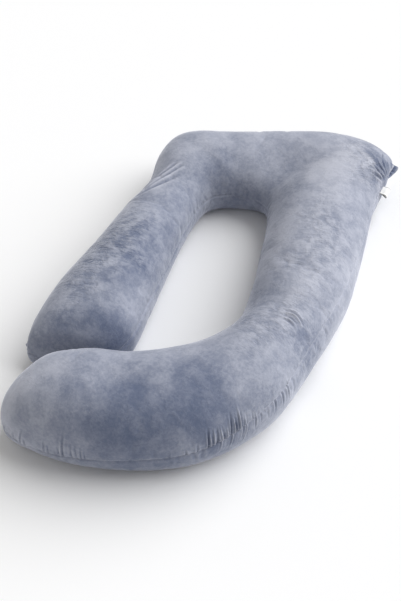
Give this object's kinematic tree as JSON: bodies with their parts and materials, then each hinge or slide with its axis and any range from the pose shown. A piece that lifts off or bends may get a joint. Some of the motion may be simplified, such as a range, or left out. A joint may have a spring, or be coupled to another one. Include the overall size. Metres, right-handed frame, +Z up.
{
  "type": "pregnancy pillow",
  "caption": "Long filled velvet body pillow bent round a channel for the body, with a seam at mid height, a gathered corner ear and a bare label.",
  "frame": {"origin": "centre of the pillow's box, on the surface that it lies on", "axes": "X across the pillow, +Y along it towards the head end, +Z up"},
  "size_m": [0.8772, 1.3664, 0.2403],
  "materials": {
    "velvet": "short crushed velvet pile",
    "ribbon": "satin ribbon"
  },
  "bodies": {
    "root": {"pillow": "velvet", "care_label": "ribbon"}
  },
  "joints": []
}
